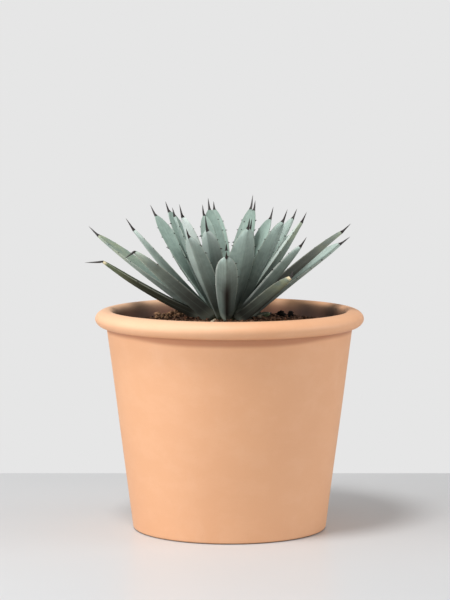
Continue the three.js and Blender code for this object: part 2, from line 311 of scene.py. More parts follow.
def terracotta():
    m = potMake
    f = Finish("terracotta", 0.6)
    place = f.place()
    toRight, toBack, height = f.split(place)
    inner = inside(f, place)
    grain = f.cloud(place, 1100, 2, 0.7)
    cloudy = f.cloud(f.stretch(place, (1, 1, 1.6)), 38, 3, 0.6)
    blotch = f.cloud(place, 9, 3, 0.5)
    colour = f.blend(f.step(blotch, 0.36, 0.66) * 0.4 + 0.35, paint(m["deepClay"]), paint(m["clay"]))
    colour = f.blend(f.step(cloudy, 0.42, 0.68) * 0.2, colour, paint(m["paleClay"]))

    # lime comes through here and there, and the lime colour also paints a highlight along the top of the rim,
    # strongest on its left
    lime = f.step(f.cloud(f.stretch(place, (1, 1, 0.5), (3, 1, 0)), 30, 5, 0.65), 0.56, 0.72)
    # painted highlight along the top of the rim, most on its left
    paintedRimHighlight = f.step(height, 0.19, 0.202) * (0.03 + 0.27 * f.step(toRight, 0.05, -0.06))
    colour = f.blend(lime * 0.06 + paintedRimHighlight, colour, paint(m["lime"]))
    specks = f.step(f.cells(place, 330), 0.13, 0.08) * f.step(f.cloud(place, 120, 2), 0.5, 0.62)
    colour = f.blend(specks * 0.3, colour, paint(m["speck"]))

    # the inner wall is damp, painted shadow darkens the wall under the rim and painted shade darkens the
    # foot's edge
    colour = f.blend(f.step(height, 0.2045, 0.193) * inner * 0.95, colour, paint(m["damp"]))
    # painted shadow on the wall under the rim, reaching lower at the front
    rimShadowLevel = height + 0.003 * f.step(toBack, -0.07, -0.11)
    paintedRimShadow = f.step(rimShadowLevel, 0.183, 0.1875) * f.step(height, 0.1905, 0.188) * (1.0 - inner)
    colour = f.blend(paintedRimShadow * 0.72, colour, paint(m["paintedRimShadow"]))
    # painted shade along the bottom edge of the foot
    colour = f.blend(f.step(height, 0.0016, 0.0004) * 0.8, colour, paint(m["paintedFootShade"]))

    # painted shade on the left and right of the inner wall
    leftPaintedShade = f.step(toRight, -0.02, -0.1) * 0.48
    rightPaintedShade = f.step(toRight, 0.058, 0.076) * f.step(toRight, 0.114, 0.1) * 0.66
    wallPaintedShade = (leftPaintedShade + rightPaintedShade) * inner * f.step(height, 0.2045, 0.2)
    colour = f.light(colour, 0.97 + 0.06 * grain - wallPaintedShade)
    rings = f.cloud(f.stretch(place, (2, 2, 160)), 3, 2)
    relief = grain * 0.4 + cloudy * 0.3 + rings * 0.4
    return f.close(colour, 0.5 + 0.12 * blotch, f.bump(relief, 0.25, 0.0004))


def inside(f, place):                  # 1 on the pot's inner side, 0 on its outer side
    x, y, height = f.split(place)
    slope = (potMake["wallTopRadius"] - potMake["footRadius"]) / rimBottom
    depth = (x * x + y * y) ** 0.5 - height * slope
    return f.step(depth, (potMake["footRadius"] - 2) * milli, (potMake["footRadius"] - 4) * milli)


def makePot():
    m = potMake
    points, faces = spin(potProfile(), m["sides"], wobble=potWobble)
    pot = shade(makeObject("pot_body", points, faces, [terracotta()]), 60)
    cutters = []
    for i in range(m["drainHoles"]):
        angle = math.radians(90 + 360 / m["drainHoles"] * i)
        centre = (m["drainCircle"] * math.cos(angle), m["drainCircle"] * math.sin(angle))
        line = [(m["drainRadius"], -m["drillPast"]), (m["drainRadius"], m["floor"] + m["drillPast"])]
        drill, drillFaces = spin(line, m["drainSides"], centre)
        cutter = shade(makeObject(f"drill_{i}", drill, drillFaces, [pot.data.materials[0]]), 60)
        cut = pot.modifiers.new("drain", "BOOLEAN")
        cut.object = cutter
        cut.solver = "EXACT"
        cutters.append(cutter)
    applyModifiers(pot)
    for cutter in cutters:
        bpy.data.objects.remove(cutter)
    shade(pot, 50)
    settle(pot, "terracotta", "pot")
    print("pot made")


def applyModifiers(made):
    bpy.context.view_layer.update()
    graph = bpy.context.evaluated_depsgraph_get()
    mesh = bpy.data.meshes.new_from_object(made.evaluated_get(graph))
    made.modifiers.clear()
    made.data = mesh


# Soil with crumbs, bark and pebbles

soilMake = {
    "edgeHeight": 188, "crownHeight": 196, "lump": 1.3, "clearance": 0.3, "rings": 64, "sides": 220,
    "dishRadius": 29, "dishFloorRadius": 22, "dishDepth": 9,
    # a reach is how far from the pot's axis and from the soil's edge they lie
    "crumbs": 3600, "crumbSizes": (0.5, 2.2), "crumbReach": (20, 2),
    "clods": 220, "clodSizes": (1.2, 2.8), "clodReach": (24, 5),
    "pebbles": 16, "pebbleSizes": (1.0, 2.3), "pebbleReach": (22, 4),
    "chips": 18, "chipRing": (40, 94), "chipLengths": (5, 10), "chipWidths": (3, 6), "chipThickness": 3.2,
    "smallChips": 150, "smallChipLengths": (2.5, 7), "smallChipWidths": (1.5, 3.5),
    "smallChipThicknesses": (0.8, 1.8), "scrapThickness": 0.8,
    # a heap of near-black clods on the right
    "darkHeap": {"place": (54, 40), "spread": (11, 13), "height": 4.5, "clods": 30, "sizes": (1.6, 3.2)},
    "looseHeap": {"place": (-54, 30), "spread": (17, 13), "height": 5.5, "clods": 120, "sizes": (0.9, 2.6)},
    "scraps": (
        {"place": (27, 2, 197.5), "length": 7, "width": 4, "tilt": (0.7, -0.4, 0.2)},
        {"place": (-41, 18, 194.5), "length": 5, "width": 3, "tilt": (0.3, 0.2, 1.2)},
        {"place": (-15, -25, 196.6), "length": 7, "width": 2.5, "tilt": (0.9, -0.5, 0.3)},
    ),
    # a dark, a middle and a light colour each
    "earth": ("#3C2A20", "#86624C", "#B78C70"), "barkColours": ("#3C2A20", "#6B4531", "#A5764F"),
    "darkEarth": ("#0D0906", "#1C120C", "#332218"), "looseEarth": ("#4C3527", "#B58A68", "#EBCBA6"),
    "straw": ("#B59A7C", "#F0E0C4", "#FBF3E2"), "pebbleColours": ("#8A7358", "#C9B08E", "#C9B08E"),
}
soilEdge = innerWallRadius(soilMake["edgeHeight"]) - soilMake["clearance"]
crown = Vector((-3, 4, 193))
dice = random.Random(7)


def draw(index):                       # a number from 0 to 1, always the same for an index
    value = math.sin(index * 127.1 + 11.7) * 43758.5453
    return value - math.floor(value)


def soilHeight(x, y):
    m = soilMake
    share = min(1, math.hypot(x, y) / innerWallRadius(m["edgeHeight"]))
    dome = mix(m["crownHeight"], m["edgeHeight"], share * share)
    lumps = math.sin(x * 0.21 + 1.3) * math.cos(y * 0.27 - 0.4)
    lumps += 0.7 * math.sin(x * 0.47 - y * 0.39) * math.cos(y * 0.53 + x * 0.11)
    return dome + lumps * m["lump"] * (1 - share ** 6)


def soilSurface(x, y):                 # the height with the dish under the leaves and fine clods
    m = soilMake
    height = soilHeight(x, y)
    near = math.hypot(x - crown.x, y - crown.y)
    floor = m["crownHeight"] - m["dishDepth"]
    slope = 2 * m["dishDepth"] / (m["dishRadius"] - m["dishFloorRadius"])
    height = min(height, floor + max(0, near - m["dishFloorRadius"]) * slope)
    place = Vector((x, y, 0))
    clods = noise.noise(place * 0.16) * 1.1 + noise.noise(place * 0.45 + up * 9) * 0.8
    clods += abs(noise.noise(place * 1.1 + up * 5)) * 0.7
    return height + clods


def onSoil(x, y, rise):
    return Vector((x, y, soilSurface(x, y) + rise))


def lumpPoints(centre, size, seed, flat=1.0, cuts=1):    # a rough pebble or crumb
    shape = bmesh.new()
    bmesh.ops.create_icosphere(shape, subdivisions=cuts, radius=1)
    turn = Matrix.Rotation(draw(seed) * 6.3, 3, "Z") @ Matrix.Rotation(draw(seed + 0.5) * 0.9, 3, "X")
    stretchBy = Vector((mix(0.75, 1.3, draw(seed + 1)), mix(0.7, 1.1, draw(seed + 2)), flat))
    points = []
    for vertex in shape.verts:
        rough = 1 + 0.55 * noise.noise(vertex.co * 1.6 + Vector((seed * 3.1, 0, 0)))
        points.append(centre + turn @ (vertex.co * rough * stretchBy * size))
    faces = [tuple(v.index for v in face.verts) for face in shape.faces]
    shape.free()
    return points, faces


def chipPoints(centre, length, width, thickness, tilt, seed):    # a broken flake of bark
    outline = 9
    levels = ((-0.5, 0.86), (-0.2, 1.0), (0.25, 1.0), (0.5, 0.84))
    turn = Matrix.Identity(3)
    for angle, axis in zip(tilt, "XYZ"):
        turn = Matrix.Rotation(angle, 3, axis) @ turn
    points = []
    for level, inset in levels:
        for j in range(outline):
            angle = 2 * math.pi * j / outline
            ragged = 1 + 0.28 * (draw(seed + j * 7.7) - 0.5)
            x = length / 2 * math.copysign(abs(math.cos(angle)) ** 0.7, math.cos(angle)) * ragged * inset
            y = width / 2 * math.copysign(abs(math.sin(angle)) ** 0.7, math.sin(angle)) * ragged * inset
            bow = 0.18 * thickness * math.sin(x * 1.7 + seed)
            points.append(centre + turn @ Vector((x, y, level * thickness + bow)))
    return points, bandFaces(len(levels), outline) + capFaces(len(levels), outline)


def gather(name, shapes, finish, angle=None):    # one object of many grains, each a little lighter or darker
    points, faces, tones = [], [], []
    for i, (somePoints, someFaces) in enumerate(shapes):
        start = len(points)
        points += somePoints
        faces += [tuple(start + k for k in face) for face in someFaces]
        tones += [draw(i * 1.7 + 3) - 0.5] * len(somePoints)
    made = makeObject(name, points, faces, [finish])
    addField(made, "grainTone", "FLOAT", tones)
    settle(shade(made, angle), "potting_soil")


def spotOnSoil(fromMiddle, fromEdge):
    angle = dice.uniform(0, 2 * math.pi)
    radius = math.sqrt(dice.uniform(fromMiddle ** 2, (soilEdge - fromEdge) ** 2))
    return radius * math.cos(angle), radius * math.sin(angle)


def earthFinish(name, colours, scale):
    f = Finish(name, 0.2)
    dark, mid, light = (paint(colour) for colour in colours)
    place = f.place()
    coarse = f.cloud(place, scale, 5, 0.65)
    fine = f.cloud(place, scale * 6, 4, 0.7)
    colour = f.blend(f.step(coarse, 0.36, 0.6), dark, mid)
    colour = f.blend(f.step(fine, 0.54, 0.7) * 0.7, colour, light)
    push, amount = f.cloud(place, 260, 2, 0.5, "Color"), (0.004, 0.004, 0.004)
    ragged = f.node("VectorMath", {"operation": "MULTIPLY_ADD"}, {0: push, 1: amount, 2: place})
    grains = f.cells(ragged, scale * 3)
    colour = f.light(colour, 1.75 - 1.2 * grains + 1.3 * f.field("grainTone", "Fac"))
    relief = coarse * 0.6 + fine - grains * 1.2
    return f.close(colour, 0.95 - 0.12 * coarse, f.bump(relief, 0.9, 0.0014))


def makeSoilBed():
    m = soilMake
    rings, sides = m["rings"], m["sides"]
    points = []
    for i in range(rings):
        for x, y in circle(soilEdge * (1 - i / rings) ** 0.9, sides):
            points.append(onSoil(x, y, 0) if i else Vector((x, y, m["edgeHeight"])))
    faces = bandFaces(rings, sides)
    middle = len(points)
    points.append(Vector((0, 0, m["crownHeight"] - m["dishDepth"])))
    inmost = middle - sides
    faces += [(inmost + j, inmost + (j + 1) % sides, middle) for j in range(sides)]
    floor = potMake["floor"] + m["clearance"]
    corner = floor + potMake["floorCornerHeight"]
    inset = potMake["floorCornerInset"]
    above = range(sides)
    for radius, height in ((innerWallRadius(corner) - inset - m["clearance"], corner),
                           (innerWallRadius(floor) - inset - potMake["floorCornerWidth"], floor)):
        ring = range(len(points), len(points) + sides)
        points += [Vector((x, y, height)) for x, y in circle(radius, sides)]
        faces += [(above[j - 1], above[j], ring[j], ring[j - 1]) for j in range(sides)]
        above = ring
    faces.append(tuple(above))
    earth = earthFinish("potting_soil", m["earth"], 160)
    settle(shade(makeObject("soil_bed", points, faces, [earth]), 55), "potting_soil", "soil")


def makeCrumbs():
    m = soilMake
    crumbs = []
    for i in range(m["crumbs"]):
        x, y = spotOnSoil(*m["crumbReach"])
        size = mix(*m["crumbSizes"], dice.random() ** 3)
        flat = mix(0.6, 1, dice.random())
        crumbs.append(lumpPoints(onSoil(x, y, size * 0.35), size, i * 1.37, flat))
    for i in range(m["clods"]):        # loose clods, many of them on the left
        x, y = spotOnSoil(*m["clodReach"])
        x = x if i % 3 else -abs(x)
        size = mix(*m["clodSizes"], dice.random() ** 2)
        flat = mix(0.6, 0.9, dice.random())
        crumbs.append(lumpPoints(onSoil(x, y, size * 0.5), size, i * 2.11 + 40, flat, 2))
    gather("soil_crumbs", crumbs, earthFinish("soil_crumbs", m["earth"], 420))


def heapShapes(heap):
    shapes = []
    for i in range(heap["clods"]):
        x, y = (heap["place"][k] + heap["spread"][k] * (draw(i * 3 + k) + draw(i * 5 + k) - 1)
                for k in (0, 1))
        lift = heap["height"] * draw(i * 7 + 2) * (1 - draw(i * 7 + 3) * 0.5)
        shapes.append(lumpPoints(onSoil(x, y, lift), mix(*heap["sizes"], draw(i + 60)), i * 1.9 + 7, 0.8, 2))
    return shapes


def makeHeaps():
    m = soilMake
    gather("dark_clods", heapShapes(m["darkHeap"]), earthFinish("dark_soil", m["darkEarth"], 300))
    gather("loose_clods", heapShapes(m["looseHeap"]), earthFinish("loose_soil", m["looseEarth"], 360))


def makeBark():
    m = soilMake
    chips = []
    for i in range(m["chips"]):
        angle = draw(i) * math.pi * 2
        radius = mix(*m["chipRing"], draw(i + 100))
        x, y = radius * math.cos(angle), radius * math.sin(angle)
        centre = Vector((x, y, soilHeight(x, y) + 0.6))
        length, width = mix(*m["chipLengths"], draw(i + 200)), mix(*m["chipWidths"], draw(i + 300))
        tilt = (mix(-0.5, 0.5, draw(i + 400)), mix(-0.6, 0.6, draw(i + 500)), draw(i + 600) * math.pi)
        chips.append(chipPoints(centre, length, width, m["chipThickness"], tilt, i))
    for i in range(m["smallChips"]):
        x, y = spotOnSoil(*m["clodReach"])
        tilt = (dice.uniform(-0.7, 0.7), dice.uniform(-0.7, 0.7), dice.uniform(0, 3.1))
        length, width = dice.uniform(*m["smallChipLengths"]), dice.uniform(*m["smallChipWidths"])
        thickness = dice.uniform(*m["smallChipThicknesses"])
        chips.append(chipPoints(onSoil(x, y, 0.7), length, width, thickness, tilt, i + 50))
    gather("bark_chips", chips, earthFinish("bark", m["barkColours"], 260), 40)


def makeScraps():
    m = soilMake
    scraps = [chipPoints(Vector(s["place"]), s["length"], s["width"], m["scrapThickness"], s["tilt"], i + 300)
              for i, s in enumerate(m["scraps"])]
    gather("dry_scraps", scraps, earthFinish("straw", m["straw"], 200), 40)


def makePebbles():
    m = soilMake
    pebbles = []
    for i in range(m["pebbles"]):
        x, y = spotOnSoil(*m["pebbleReach"])
        size = dice.uniform(*m["pebbleSizes"])
        pebbles.append(lumpPoints(onSoil(x, y, size * 0.3), size, i + 900.5, 0.7, 2))
    gather("pebbles", pebbles, earthFinish("pebble", m["pebbleColours"], 300))


def makeSoil():                        # the order matters, because all of them draw from the same dice
    makeSoilBed()
    makeCrumbs()
    makeHeaps()
    makeBark()
    makeScraps()
    makePebbles()
    print("soil made")


# Leaves

leafMake = {
    "lowRoot": {"rise": 20, "radius": 21, "height": 2}, "highRoot": {"rise": 80, "radius": 5, "height": 16},
    "widestAt": 0.6, "baseWidth": 0.72, "tipHalfWidth": 1.2, "tipBluntness": 0.6,
    "baseThickness": 5.6, "tipThickness": 2.6, "baseCup": 0.34, "tipCup": 0.14,
    "marginThickness": 0.55, "marginReach": 0.2, "keel": 0.5, "keelReach": 0.2, "keelTilt": 2.0, "wave": 0.22,
    "facePoints": 13, "stations": 34, "spineRings": 12, "spineTaper": 0.8, "spineWidth": 0.92,
    "teeth": ((0.29, 0.4), (0.375, 0.6), (0.525, 0.8), (0.665, 1), (0.785, 1), (0.885, 0.8)),
    "toothNudge": 0.024, "toothScales": (0.5, 1.15), "toothMound": 0.35, "moundReach": 1.5,
    "toothLength": 2.0, "toothWidth": 0.75, "toothDepth": 0.42, "toothHook": (-0.45, 0.75), "toothSides": 8,
    "toothRings": ((-0.3, 1.15), (0.0, 1.0), (0.3, 0.66), (0.62, 0.36), (0.85, 0.17)),
    # a pale colour for bloom and painted highlight, and a near-black one for plum tint and painted shade
    "mint": "#A6BAB0", "greyGreen": "#85998F", "olive": "#525F34", "backGrey": "#9EAEA7", "bloomAndHighlight": "#D6E0DB",
    "yellow": "#A9AB7C", "plumAndShade": "#2A2925", "margin": "#B4B8AA", "horn": "#241C1A", "hornTip": "#6B625E",
    "dried": "#D8C9A4", "sheath": "#B9C0AE",
}

# Azimuth from +X towards +Y, rise above level, roll about the blade's own line, lift of the spine and bend
# from root to tip are in degrees. Slim scales the thickness, and a higher shoulder makes a blunter tip.
# Age turns mint to grey-green and olive, yellow tints the tip, plumAndShade gives the lower half a plum tint
# and painted shade, dark is painted shade over the blade up to near its tip and dried bleaches its last few
# millimetres. On the back, keelDark darkens the keel over keelWidth and paintedShadeHalf paints shade on one
# half, the one on the +side if above 0, from paintedShadeEdge on. On the inner face, nearPaintedShade paints
# shade on the half on the -side. The bloomAndHighlight and backBloomAndHighlight are the pale bloom and a
# painted highlight on the upper part of the inner face and of the back, and paleRimAndHighlight are the same
# on the margin of the -side.
leafDefaults = {"roll": 0, "lift": 6, "bend": 6, "shoulder": 3, "slim": 1,
                "age": 0.3, "yellow": 0, "plumAndShade": 0.5, "dark": 0, "dried": 0,
                "keelDark": 0.25, "keelWidth": 0.2, "paintedShadeHalf": 0, "paintedShadeEdge": 0.1, "nearPaintedShade": 0,
                "bloomAndHighlight": 0, "backBloomAndHighlight": 0, "paleRimAndHighlight": 0}
leafRows = (
    # heart
    {"azimuth": 90, "rise": 82, "length": 50, "width": 15, "spine": 7, "age": 0.1},
    {"azimuth": -30, "rise": 82, "length": 46, "width": 14, "spine": 7, "age": 0.1},
    {"azimuth": -150, "rise": 83, "length": 44, "width": 14, "spine": 7, "age": 0.1},
    # inner leaves, steep
    {"azimuth": 130, "rise": 73, "length": 87, "width": 16, "spine": 11, "roll": 10, "age": 0.1},
    {"azimuth": 178, "rise": 66, "length": 94, "width": 18, "spine": 9, "roll": 8, "age": 0.4},
    {"azimuth": 108, "rise": 64.5, "length": 99, "width": 21, "spine": 12, "roll": 10, "shoulder": 1.8,
     "age": 0.45, "plumAndShade": 0.8},
    {"azimuth": 53, "rise": 69, "length": 95, "width": 18, "spine": 10, "roll": 10, "age": 0.4},
    {"azimuth": -63, "rise": 64, "length": 85, "width": 20, "spine": 12, "paintedShadeHalf": 0.3},
    {"azimuth": -139, "rise": 64, "length": 98, "width": 21, "spine": 13, "roll": 8,
     "age": 0, "keelDark": 0, "paintedShadeHalf": -0.8, "backBloomAndHighlight": 0.8},
    {"azimuth": 155, "rise": 61.5, "length": 102, "width": 20, "spine": 11, "roll": 10, "age": 0.4},
    {"azimuth": -36, "rise": 58.5, "length": 100, "width": 19, "spine": 13, "roll": 10, "paintedShadeHalf": 0.25},
    {"azimuth": 38, "rise": 63, "length": 92, "width": 26, "spine": 12.5, "roll": 10, "age": 0.15},
    # middle leaves
    {"azimuth": -107, "rise": 58.5, "length": 92, "width": 19, "spine": 17, "roll": 8,
     "age": 0, "plumAndShade": 1, "dark": 0.85, "paintedShadeHalf": 0.2, "backBloomAndHighlight": 0.25},
    {"azimuth": 6, "rise": 55, "length": 101, "width": 19, "spine": 11, "roll": 2,
     "age": 0.7, "yellow": 0.5, "bloomAndHighlight": 0.7},
    {"azimuth": -73, "rise": 56, "length": 98, "width": 25, "spine": 12, "shoulder": 1.5, "paintedShadeHalf": 0.35},
    {"azimuth": 35, "rise": 53, "length": 105.5, "width": 22, "spine": 11, "roll": 10,
     "age": 0.1, "bloomAndHighlight": 0.3},
    {"azimuth": 140, "rise": 49.5, "length": 114, "width": 18, "spine": 13, "roll": 10, "shoulder": 2.6,
     "plumAndShade": -0.5},
    {"azimuth": 73, "rise": 53.5, "length": 113, "width": 20.5, "spine": 16, "roll": 8, "shoulder": 1.6,
     "age": 0.45},
    {"azimuth": 96, "rise": 43, "length": 133, "width": 21, "spine": 11, "roll": 6, "shoulder": 1.8,
     "age": 0.45, "plumAndShade": 0.8},
    {"azimuth": -170, "rise": 47.5, "length": 107, "width": 16, "spine": 14, "shoulder": 2.4,
     "paintedShadeHalf": 0.85, "paintedShadeEdge": 0.25, "backBloomAndHighlight": 0.4},
    {"azimuth": -114, "rise": 48, "length": 103, "width": 20, "spine": 10, "shoulder": 2.4,
     "paintedShadeHalf": 0.65, "backBloomAndHighlight": 0.2},
    # outer leaves
    {"azimuth": 124, "rise": 41, "length": 114, "width": 22, "spine": 13, "roll": 10, "age": 0.4},
    {"azimuth": -42, "rise": 42.5, "length": 101, "width": 15, "spine": 12,
     "age": 0.4, "plumAndShade": 0.8, "dark": 0.6, "paleRimAndHighlight": 0.8},
    {"azimuth": -15, "rise": 40.5, "length": 123, "width": 22, "spine": 12, "bend": -6, "shoulder": 3.4,
     "age": 0.5, "yellow": 0.5, "plumAndShade": 1, "dark": 1, "backBloomAndHighlight": 0.05},
    {"azimuth": 50, "rise": 40, "length": 110, "width": 22, "spine": 13, "roll": 10, "age": 0.4},
    {"azimuth": -90, "rise": 38.5, "length": 99, "width": 19.5, "spine": 9, "shoulder": 3.2,
     "age": 0.4, "plumAndShade": -0.5, "dark": 0.5, "keelDark": 1, "keelWidth": 0.4, "paintedShadeHalf": 0.3, "paleRimAndHighlight": 0.4},
    {"azimuth": -148, "rise": 38, "length": 104, "width": 24, "spine": 12, "lift": -70, "shoulder": 2.4,
     "age": 0.4, "yellow": 0.3, "paintedShadeHalf": 0.95, "paintedShadeEdge": 0.15, "backBloomAndHighlight": 0.2},
    {"azimuth": 98, "rise": 34, "length": 116, "width": 22, "spine": 13, "roll": 6, "age": 0.5, "plumAndShade": 0.7},
    {"azimuth": 13, "rise": 35.5, "length": 113, "width": 21, "spine": 13, "roll": -12, "lift": 0, "bend": 0,
     "age": 0, "plumAndShade": 0.8, "nearPaintedShade": 0.6, "bloomAndHighlight": 0.25},
    {"azimuth": 73, "rise": 32, "length": 116, "width": 22, "spine": 13, "roll": 8, "age": 0.5, "plumAndShade": 0.7},
    {"azimuth": 157, "rise": 32.5, "length": 135, "width": 23, "spine": 14, "shoulder": 2.4,
     "age": 0.45, "yellow": 0.6},
    {"azimuth": -54, "rise": 29.5, "length": 92, "width": 17, "spine": 6.5, "lift": 40, "age": 0.75,
     "yellow": 0.6, "plumAndShade": 1, "dark": 0.6, "dried": 1, "keelDark": 0.6, "paintedShadeHalf": 0.9, "paintedShadeEdge": -0.05},
    {"azimuth": -177, "rise": 29, "length": 110, "width": 20, "spine": 17, "lift": -38, "bend": 14,
     "slim": 0.8, "age": 1, "plumAndShade": 0.8, "dark": 1, "dried": 0.8},
    # short, low on the stem and dried up
    {"azimuth": 18, "rise": 14, "length": 22, "width": 10, "spine": 2.5, "age": 1, "plumAndShade": 1, "dark": 0.8},
)
leaves = [{**leafDefaults, **row, "number": i + 1} for i, row in enumerate(leafRows)]


def leafRoot(leaf):                    # flat leaves start low and wide on the stem, steep ones high
    low, high = leafMake["lowRoot"], leafMake["highRoot"]
    share = clamp((leaf["rise"] - low["rise"]) / (high["rise"] - low["rise"]))
    azimuth = math.radians(leaf["azimuth"])
    outward = Vector((math.cos(azimuth), math.sin(azimuth), 0))
    radius, height = (mix(low[key], high[key], share) for key in ("radius", "height"))
    return crown + outward * radius + up * height


def leafDirection(leaf, t):
    rise = math.radians(leaf["rise"] + leaf["bend"] * (t - 0.5))
    azimuth = math.radians(leaf["azimuth"])
    return Vector((math.cos(rise) * math.cos(azimuth), math.cos(rise) * math.sin(azimuth), math.sin(rise)))


def leafFrame(leaf, t):                # point, along, side and inward normal at a share of the length
    halfTurn = math.radians(leaf["bend"]) * t / 2
    chord = leaf["length"] * t * (math.sin(halfTurn) / halfTurn if halfTurn else 1)
    point = leafRoot(leaf) + leafDirection(leaf, t / 2) * chord
    along = leafDirection(leaf, t)
    azimuth = math.radians(leaf["azimuth"])
    level = Vector((-math.sin(azimuth), math.cos(azimuth), 0))
    roll = math.radians(leaf["roll"]) * smooth(t, 0, leafMake["widestAt"])
    side = Matrix.Rotation(-roll, 3, along) @ level
    return point, along, side, along.cross(side)


def halfWidth(leaf, t):
    m = leafMake
    taper = clamp((t - m["widestAt"]) / (1 - m["widestAt"]))
    base = mix(m["baseWidth"], 1, smooth(t, 0, m["widestAt"]))
    tip = (1 - taper ** leaf["shoulder"]) ** m["tipBluntness"]
    return math.hypot(0.5 * leaf["width"] * base * tip, m["tipHalfWidth"])


def toothPlaces(leaf, side):           # shares of the length, a little different on each margin
    m = leafMake
    found = []
    for i, (share, size) in enumerate(m["teeth"]):
        nudge = (draw(leaf["number"] * 31 + i * 3 + side) - 0.5) * m["toothNudge"]
        found.append((share + nudge, size * mix(*m["toothScales"], draw(leaf["number"] * 17 + i + side * 5))))
    return found


# Each point is across, inward, share of the half width, and 0 on the inner face, 1 on the back or 0.5 between
def sectionPoints(leaf, t):
    m = leafMake
    half = halfWidth(leaf, t)
    depth = mix(m["baseThickness"], m["tipThickness"], t ** 0.8) * leaf["slim"]
    curl = half * mix(m["baseCup"], m["tipCup"], t)
    edge = m["marginThickness"] / 2 * smooth(1.1 - t, 0, 0.5)
    mounds = [sum(m["toothMound"] * size * math.exp(-((t - share) * leaf["length"] / m["moundReach"]) ** 2)
                  for share, size in toothPlaces(leaf, side)) for side in (-1, 1)]
    count = m["facePoints"]
    shares = [-math.cos(math.pi * i / (count - 1)) for i in range(count)]
    shares = sorted(shares + [-0.1, 0.1])
    phase = leaf["number"] * 4.7
    wave = m["wave"] * noise.noise(Vector((t * leaf["length"] * 0.05, phase, 0)))
    section = [(-half - m["marginReach"] - mounds[0], curl, -1, 0.5)]
    section += [(reach(half, s, mounds), curl * s * s + edge + wave * (1 - s * s), s, 0) for s in shares]
    section.append((half + m["marginReach"] + mounds[1], curl, 1, 0.5))
    for s in reversed(shares):
        keel = m["keel"] * math.exp(-(s / m["keelReach"]) ** 2) * (1 - t)
        ridge = 0.35 * (1 - s * s) + 0.85 * (1 - abs(s))
        thick = depth * mix(ridge, (1 - s * s) ** 0.85, smooth(t, 0.7, 1))
        section.append((reach(half, s, mounds), curl * s * s - edge - thick - keel, s, 1))
    return section


def reach(half, share, mounds):        # how far across, with the mound that a tooth stands on
    mound = mounds[0 if share < 0 else 1]
    return half * share + math.copysign(mound * smooth(abs(share), 0.8, 1), share)


def leafStations(leaf):                # shares of the length, closer towards the tip and at each tooth
    count = leafMake["stations"]
    shares = {round(1 - (1 - i / count) ** 1.25, 4) for i in range(count + 1)}
    step = 1.3 / leaf["length"]
    for side in (-1, 1):
        for share, size in toothPlaces(leaf, side):
            shares |= {round(share + step * k, 4) for k in (-1, 0, 1)}
    ordered = sorted(shares)
    kept = [ordered[0]]
    for share in ordered[1:]:
        if share - kept[-1] > 0.004:
            kept.append(share)
    kept[-1] = 1.0
    return kept


def spinePoints(leaf):                 # rings that carry the last section on into a round, tapering spine
    m = leafMake
    point, along, side, normal = leafFrame(leaf, 1)
    lift = math.radians(leaf["lift"])
    direction = along * math.cos(lift) + normal * math.sin(lift)
    middle = point - normal * (m["tipThickness"] / 2)
    section = sectionPoints(leaf, 1)
    radius = halfWidth(leaf, 1)
    rings = []
    for i in range(1, m["spineRings"]):
        share = (i / m["spineRings"]) ** 1.15
        scale = (1 - share) ** m["spineTaper"]
        rounding = smooth(share, 0, 0.3)
        turned = (normal - direction * normal.dot(direction)).normalized()
        inward = normal.lerp(turned, smooth(share, 0, 0.16)).normalized()
        centre = middle + direction * leaf["spine"] * share
        ring = []
        for x, y, s, face in section:
            bulge = math.sqrt(max(0, 1 - s * s)) * radius * m["spineWidth"]
            roundY = 0 if face == 0.5 else bulge if face == 0 else -bulge
            across = mix(x, s * radius, rounding) * scale
            outward = mix(y + m["tipThickness"] / 2, roundY, rounding) * scale
            ring.append(centre + side * across + inward * outward)
        rings.append((share, ring))
    return rings, middle + direction * leaf["spine"]


